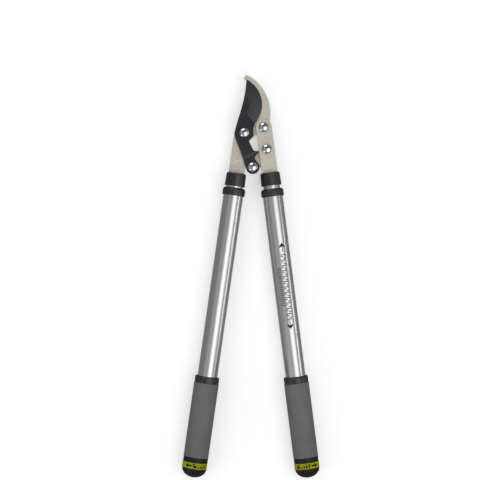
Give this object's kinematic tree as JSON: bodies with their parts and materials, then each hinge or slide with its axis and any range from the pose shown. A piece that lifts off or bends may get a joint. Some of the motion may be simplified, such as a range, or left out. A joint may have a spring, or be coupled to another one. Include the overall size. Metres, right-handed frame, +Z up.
{
  "type": "bypass loppers",
  "caption": "Bypass loppers with a hooked counter blade, a compound lever linkage and telescopic aluminium handles that lock by twisting.",
  "frame": {"origin": "On the floor plane under the middle of the closed loppers' box as they lie flat; the grips rest on Z = 0.", "axes": "+Y towards the cutting head along the bisector of the handles, +X to the side of the hook's outer edge and the moving handle, +Z up to the side the rivet heads and the blade are on."},
  "size_m": [0.2136, 0.6258, 0.0386],
  "materials": {
    "plate_steel": "satin, sand-blasted look, warm grey",
    "blade_coating": "black low-friction coating, satin",
    "rivet_chrome": "polished",
    "zinc_steel": "zinc plated",
    "tube_aluminium": "drawn and polished",
    "black_plastic": "satin moulded",
    "grip_grey": "soft matt grey",
    "open_band": "satin yellow-green",
    "white_nylon": "natural nylon"
  },
  "bodies": {
    "hook_frame": {"hook_plate": "plate_steel", "main_rivet": "rivet_chrome", "main_washer": "zinc_steel", "blade_rivet": "rivet_chrome", "blade_washer": "zinc_steel", "left_ferrule": "black_plastic", "left_tang_plug": "black_plastic", "left_plug_pin_upper": "zinc_steel", "left_plug_pin_lower": "zinc_steel", "left_inner_tube": "tube_aluminium", "left_lock_core": "black_plastic", "left_core_washer": "zinc_steel", "left_core_screw": "zinc_steel"},
    "left_collet": {"left_lock_collet": "white_nylon"},
    "left_sleeve": {"left_tube_collar": "black_plastic", "left_outer_tube": "tube_aluminium", "left_grip_ring": "black_plastic", "left_grip_sleeve": "grip_grey", "left_end_cap": "black_plastic", "left_open_band": "open_band"},
    "right_arm": {"right_bracket": "plate_steel", "bracket_link_rivet": "rivet_chrome", "bracket_link_washer": "zinc_steel", "right_ferrule": "black_plastic", "right_tang_plug": "black_plastic", "right_plug_pin_upper": "zinc_steel", "right_plug_pin_lower": "zinc_steel", "right_inner_tube": "tube_aluminium", "right_lock_core": "black_plastic", "right_core_washer": "zinc_steel", "right_core_screw": "zinc_steel"},
    "right_collet": {"right_lock_collet": "white_nylon"},
    "right_sleeve": {"right_tube_collar": "black_plastic", "right_outer_tube": "tube_aluminium", "right_grip_ring": "black_plastic", "right_grip_sleeve": "grip_grey", "right_end_cap": "black_plastic", "right_open_band": "open_band"},
    "blade_body": {"blade": "blade_coating", "blade_link_rivet": "rivet_chrome", "blade_link_washer": "zinc_steel", "link_spacer": "zinc_steel"},
    "link_body": {"drive_link": "plate_steel"}
  },
  "joints": [
    {"name": "handle_pivot", "type": "hinge", "parent": "hook_frame", "child": "right_arm", "pos_m": [0.0158, 0.231, 0.0193], "axis": [0, 0, 1], "range_deg": [0, 65]},
    {"name": "blade_pivot", "type": "hinge", "parent": "hook_frame", "child": "blade_body", "pos_m": [-0.0143, 0.2222, 0.0193], "axis": [0, 0, 1], "range_deg": [0, 40.7]},
    {"name": "link_pivot", "type": "hinge", "parent": "right_arm", "child": "link_body", "pos_m": [0.021, 0.1971, 0.0193], "axis": [0, 0, 1], "range_deg": [-60, 0]},
    {"name": "left_twist", "type": "hinge", "parent": "hook_frame", "child": "left_collet", "pos_m": [-0.08018, -0.24262, 0.0193], "axis": [-0.1336, -0.991, 0], "range_deg": [0, 90]},
    {"name": "left_slide", "type": "slide", "parent": "left_collet", "child": "left_sleeve", "axis": [-0.1336, -0.991, 0], "range_m": [0, 0.2766]},
    {"name": "right_twist", "type": "hinge", "parent": "right_arm", "child": "right_collet", "pos_m": [0.08018, -0.24262, 0.0193], "axis": [-0.1336, 0.991, 0], "range_deg": [0, 90]},
    {"name": "right_slide", "type": "slide", "parent": "right_collet", "child": "right_sleeve", "axis": [0.1336, -0.991, 0], "range_m": [0, 0.2766]}
  ],
  "couplings": [
    {"joint": "blade_pivot", "follows": "handle_pivot", "ratio": 0.625},
    {"joint": "link_pivot", "follows": "handle_pivot", "ratio": -0.92}
  ]
}
